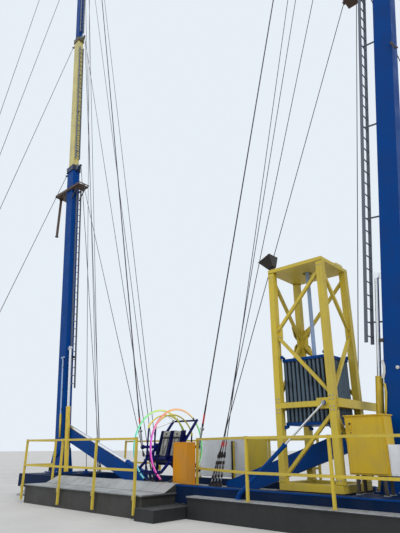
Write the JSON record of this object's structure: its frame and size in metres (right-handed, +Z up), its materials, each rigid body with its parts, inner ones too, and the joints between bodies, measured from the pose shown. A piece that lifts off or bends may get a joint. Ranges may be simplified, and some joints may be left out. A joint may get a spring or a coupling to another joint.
{
  "type": "reverse bungee ride",
  "caption": "Two leaning telescopic guyed masts on a steel base, with taut ropes to a pivoting open two-seat capsule and a spring tower.",
  "frame": {"origin": "on the ground, midway between the feet of the two masts, which is the bottom centre of the whole machine", "axes": "+X to the right mast beside the spring tower, +Y to the rear, +Z up"},
  "size_m": [20.798, 9.6, 38.3144],
  "materials": {
    "blue_paint": "gloss blue paint",
    "cabinet_yellow_paint": "yellow enamel",
    "cylinder_steel": "bright ground rod in a painted sleeve",
    "dark_paint": "dark paint",
    "deck_plate": "worn pale tread plate",
    "galvanised_steel": "galvanised steel",
    "grey_pad": "grey padded vinyl",
    "grey_paint": "dull grey paint",
    "hoop_cyan_light": "lit tube, cyan to yellow",
    "hoop_pink_light": "lit tube, magenta to peach",
    "light_blue_paint": "light blue paint",
    "mast_yellow_paint": "weathered pale yellow paint",
    "navy_paint": "navy paint",
    "orange_paint": "weathered orange paint",
    "pale_panel": "off-white panel",
    "seat_shell": "dark blue moulded shell",
    "spring_steel": "slate grey coil springs",
    "wire_rope": "dark greased wire rope",
    "yellow_paint": "yellow paint with chips and rust at the edges"
  },
  "bodies": {
    "root": {"base_feet": "galvanised_steel", "base_frame": "blue_paint", "cabinet_body": "cabinet_yellow_paint", "cabinet_stand": "dark_paint", "capsule_yokes": "galvanised_steel", "centre_deck": "deck_plate", "control_desk": "orange_paint", "entrance_step": "deck_plate", "front_deck": "deck_plate", "grey_box": "pale_panel", "guy_anchors": "galvanised_steel", "guys": "wire_rope", "haul_blocks": "blue_paint", "inclined_struts": "blue_paint", "left_ladder": "grey_paint", "left_mast_collars": "dark_paint", "left_mast_foot": "blue_paint", "left_mast_head": "dark_paint", "left_mast_section_1": "blue_paint", "left_mast_section_2": "mast_yellow_paint", "left_mast_section_3": "blue_paint", "left_mast_section_4": "mast_yellow_paint", "left_railing": "yellow_paint", "left_raising_cylinder": "cylinder_steel", "left_work_platform": "dark_paint", "lifting_ropes": "wire_rope", "rear_railing": "yellow_paint", "rear_white_panel": "pale_panel", "rear_yellow_panel": "yellow_paint", "right_deck": "deck_plate", "right_ladder": "grey_paint", "right_mast_collars": "dark_paint", "right_mast_foot": "blue_paint", "right_mast_head": "dark_paint", "right_mast_section_1": "blue_paint", "right_mast_section_2": "mast_yellow_paint", "right_mast_section_3": "blue_paint", "right_mast_section_4": "mast_yellow_paint", "right_railing": "yellow_paint", "right_raising_cylinder": "cylinder_steel", "right_work_platform": "dark_paint", "rope_anchors": "dark_paint", "rope_sets": "wire_rope", "spring_bank": "spring_steel", "spring_lower_plate": "blue_paint", "spring_rod": "light_blue_paint", "spring_upper_plate": "blue_paint", "tower_braces": "yellow_paint", "tower_lamp": "dark_paint", "tower_legs": "yellow_paint", "tower_rings": "yellow_paint", "tower_top_plate": "yellow_paint"},
    "capsule": {"left_hoop": "hoop_cyan_light", "right_hoop": "hoop_pink_light", "capsule_frame": "navy_paint", "capsule_roll_bars": "yellow_paint", "left_seat": "seat_shell", "right_seat": "seat_shell", "seat_pads": "grey_pad"},
    "cabinet_door": {"cabinet_door": "cabinet_yellow_paint"}
  },
  "joints": [
    {"name": "capsule_pivot", "type": "hinge", "parent": "root", "child": "capsule", "pos_m": [0, -0.5, 1.45], "axis": [1, 0, 0], "continuous": true},
    {"name": "cabinet_door_hinge", "type": "hinge", "parent": "root", "child": "cabinet_door", "pos_m": [5.888, -0.8115, 1.5], "axis": [0, 0, 1], "range_deg": [0, 95]}
  ]
}
